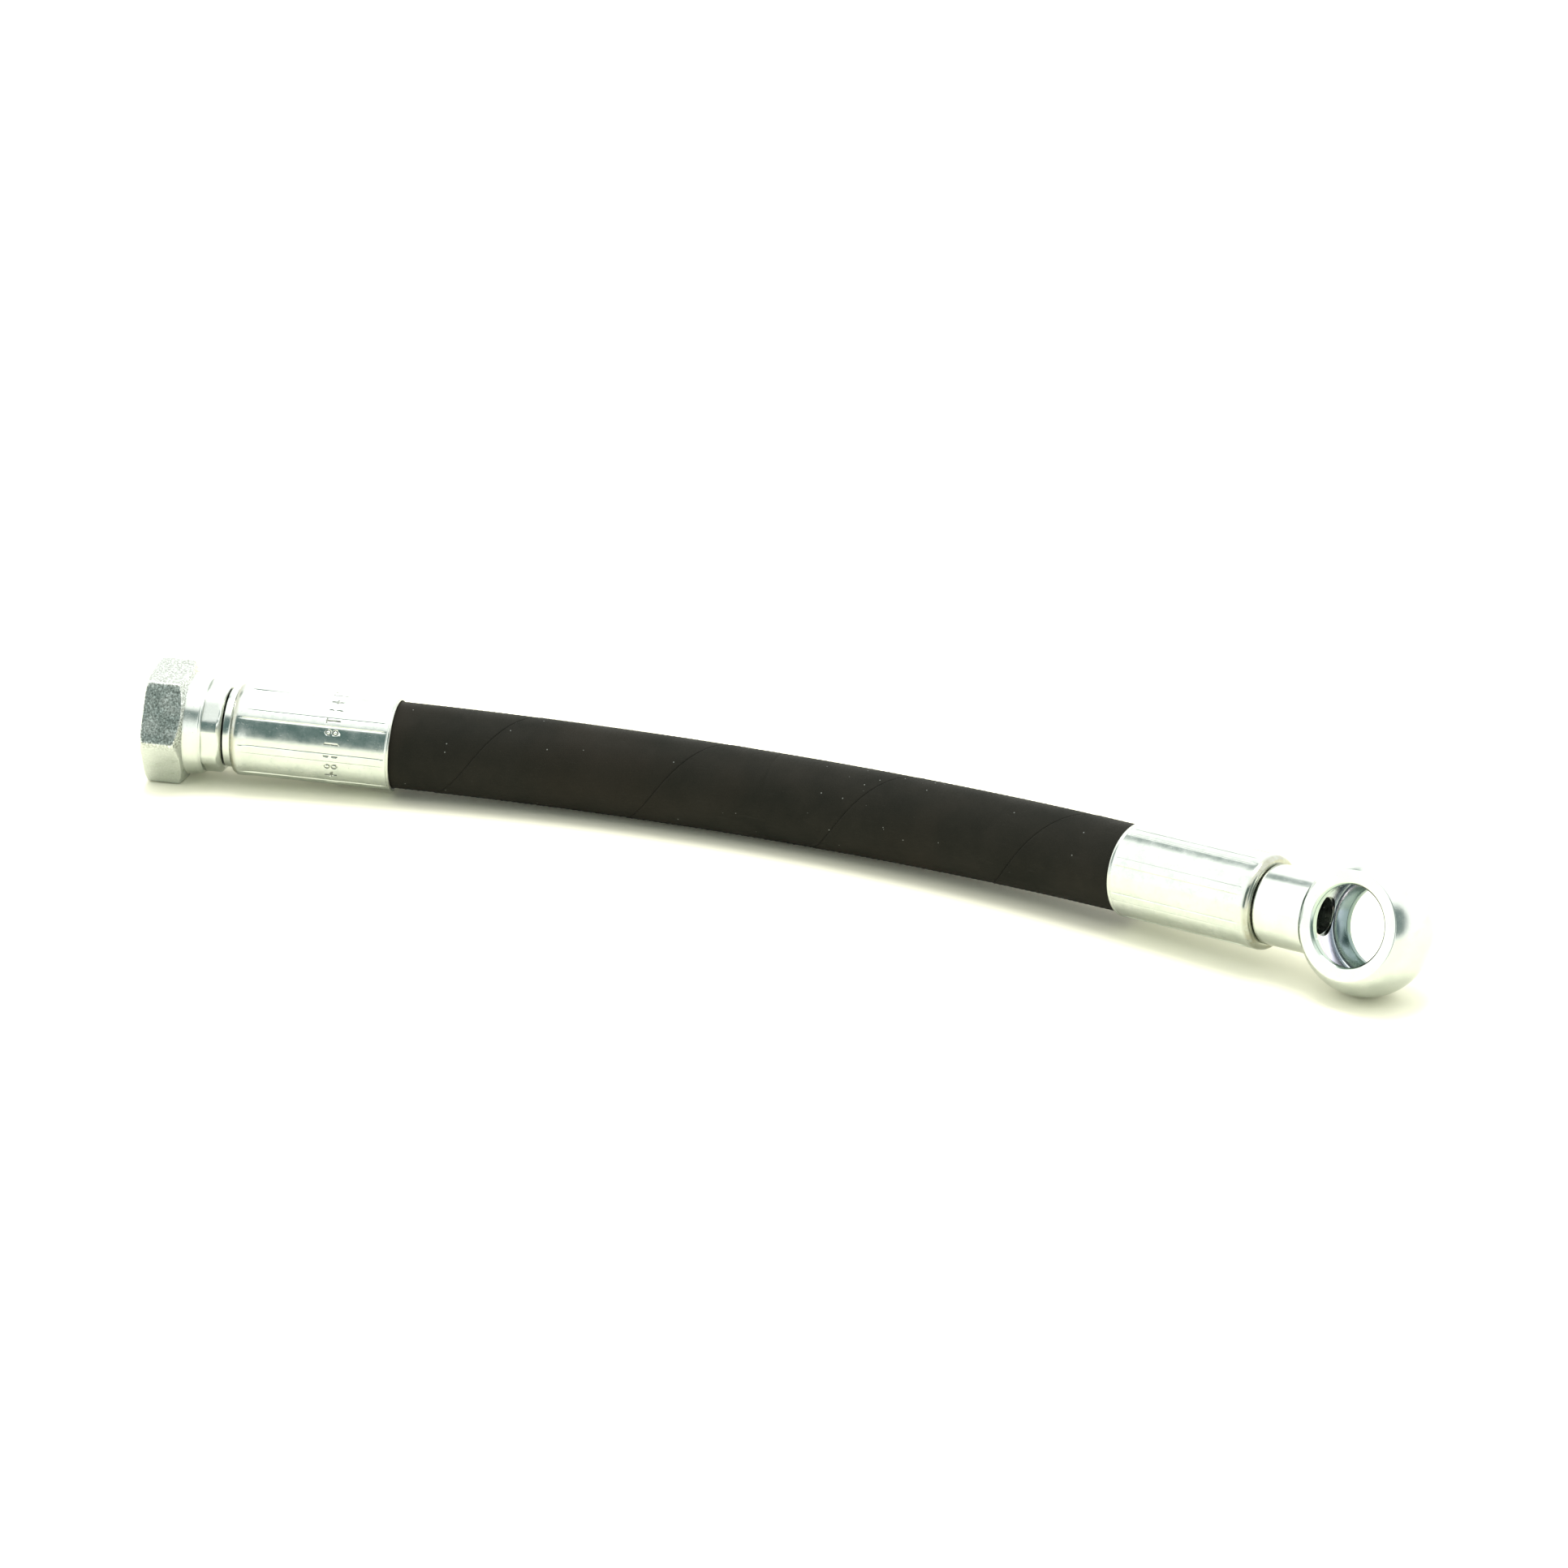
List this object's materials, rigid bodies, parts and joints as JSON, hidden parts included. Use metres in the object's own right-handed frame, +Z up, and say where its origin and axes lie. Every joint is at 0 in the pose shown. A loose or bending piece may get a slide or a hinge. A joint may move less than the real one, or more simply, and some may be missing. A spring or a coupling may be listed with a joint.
{
  "type": "hydraulic hose assembly",
  "caption": "Short wire-braided hydraulic hose, set in a gentle bend, with a crimped swivel nut fitting at one end and a crimped banjo eye at the other.",
  "frame": {"origin": "on the floor, under the middle of the bounding box", "axes": "+X from the swivel nut towards the banjo eye, level; +Z up from the floor the assembly lies on; the hose bulges towards +Y"},
  "size_m": [0.2772, 0.0412, 0.0272],
  "materials": {
    "zinc_plate": "bright zinc plated steel, satin, with faint crimp and tool marks",
    "seal_rubber": "smooth nitrile rubber",
    "tube_rubber": "matte nitrile rubber",
    "cover_rubber": "matte synthetic rubber with a fine cloth-wrap impression",
    "braid_wire": "brass-coated high tensile steel wire"
  },
  "bodies": {
    "nut_end": {"swivel_nipple": "zinc_plate", "cone_o_ring": "seal_rubber", "nut_end_ferrule": "zinc_plate"},
    "swivel_nut": {"swivel_nut": "zinc_plate"},
    "hose": {"inner_tube": "tube_rubber", "inner_wire_braid": "braid_wire", "friction_layer": "tube_rubber", "outer_wire_braid": "braid_wire", "hose_cover": "cover_rubber"},
    "banjo_end": {"banjo_end_ferrule": "zinc_plate", "banjo_stem": "zinc_plate", "banjo_eye": "zinc_plate"}
  },
  "joints": [
    {"name": "nut_spin", "type": "hinge", "parent": "nut_end", "child": "swivel_nut", "pos_m": [-0.13604, -0.0083, 0.01125], "axis": [0.9749, 0.2204, -0.0306], "continuous": true},
    {"name": "hose_bend_near", "type": "hinge", "parent": "nut_end", "child": "hose", "pos_m": [-0.0474, 0.0095, 0.00887], "axis": [0.0092, -0.1775, -0.9841], "range_deg": [-25.5, 22], "stiffness_Nm_per_rad": 12, "deforming": ["inner_tube", "inner_wire_braid", "friction_layer", "outer_wire_braid", "hose_cover"]},
    {"name": "hose_bend_far", "type": "hinge", "parent": "hose", "child": "banjo_end", "pos_m": [0.03243, 0.00976, 0.00957], "axis": [0.0092, -0.1775, -0.9841], "range_deg": [-25.5, 22], "stiffness_Nm_per_rad": 12}
  ],
  "couplings": [
    {"joint": "hose_bend_far", "follows": "hose_bend_near", "ratio": 1}
  ]
}
